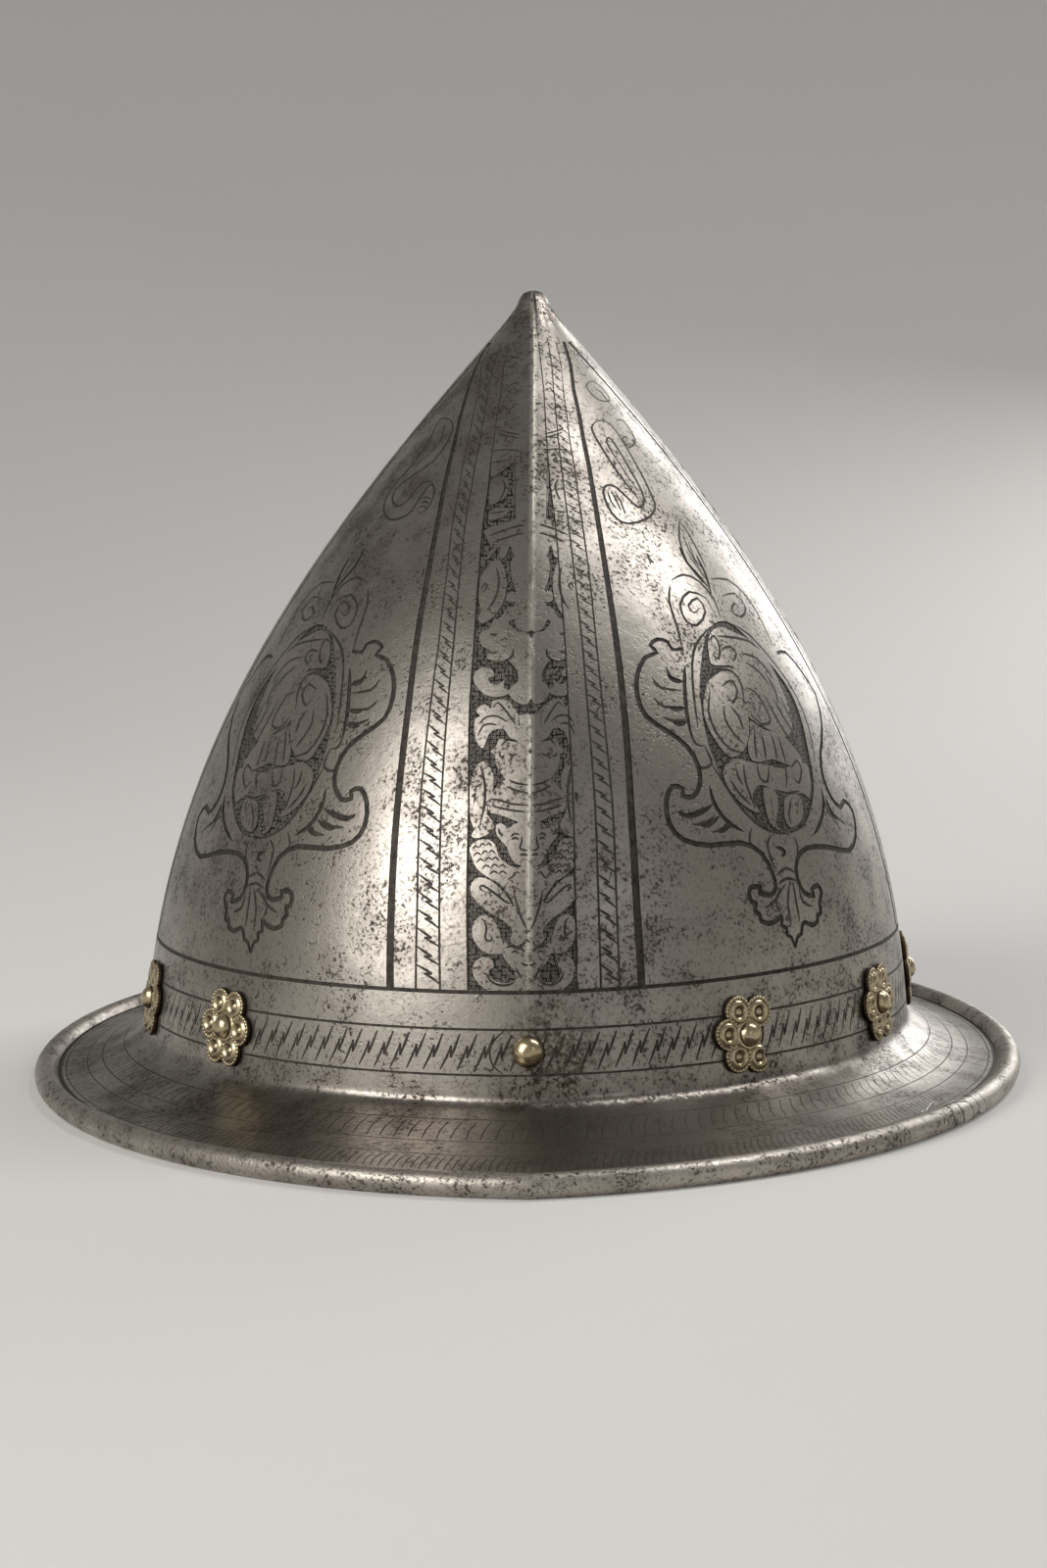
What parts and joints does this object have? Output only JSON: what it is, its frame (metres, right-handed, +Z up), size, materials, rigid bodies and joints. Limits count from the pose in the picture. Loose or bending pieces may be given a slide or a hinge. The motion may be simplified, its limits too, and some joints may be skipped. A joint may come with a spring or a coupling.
{
  "type": "cabasset helmet",
  "caption": "Tall keeled infantry helmet with a narrow rolled brim, etched steel plate, brass lining rivets on rosette washers and a padded lining.",
  "frame": {"origin": "middle of the plane that the rim stands on", "axes": "+Z up, -Y towards the wearer's front, +X towards the viewer's right when the front is faced"},
  "size_m": [0.244, 0.3356, 0.1917],
  "materials": {
    "steel": "worn, with blackened etching",
    "wire": "drawn iron, dark",
    "iron": "forge-dark iron",
    "brass": "cast and chased, tarnished",
    "leather": "dry, undyed",
    "linen": "unbleached, quilted"
  },
  "bodies": {
    "root": {"lining_band": "leather", "quilted_lining": "linen", "rim_wire": "wire", "rivet_01": "brass", "rivet_02": "brass", "rivet_03": "brass", "rivet_04": "brass", "rivet_05": "brass", "rivet_06": "brass", "rivet_07": "brass", "rivet_08": "brass", "rivet_09": "brass", "rivet_10": "brass", "rivet_11": "brass", "rivet_12": "brass", "rosette_02": "brass", "rosette_03": "brass", "rosette_04": "brass", "rosette_05": "brass", "rosette_06": "brass", "rosette_07": "brass", "rosette_08": "brass", "rosette_09": "brass", "rosette_10": "brass", "rosette_11": "brass", "rosette_12": "brass", "rove_01": "iron", "rove_02": "iron", "rove_03": "iron", "rove_04": "iron", "rove_05": "iron", "rove_06": "iron", "rove_07": "iron", "rove_08": "iron", "rove_09": "iron", "rove_10": "iron", "rove_11": "iron", "rove_12": "iron", "skull": "steel"}
  },
  "joints": []
}
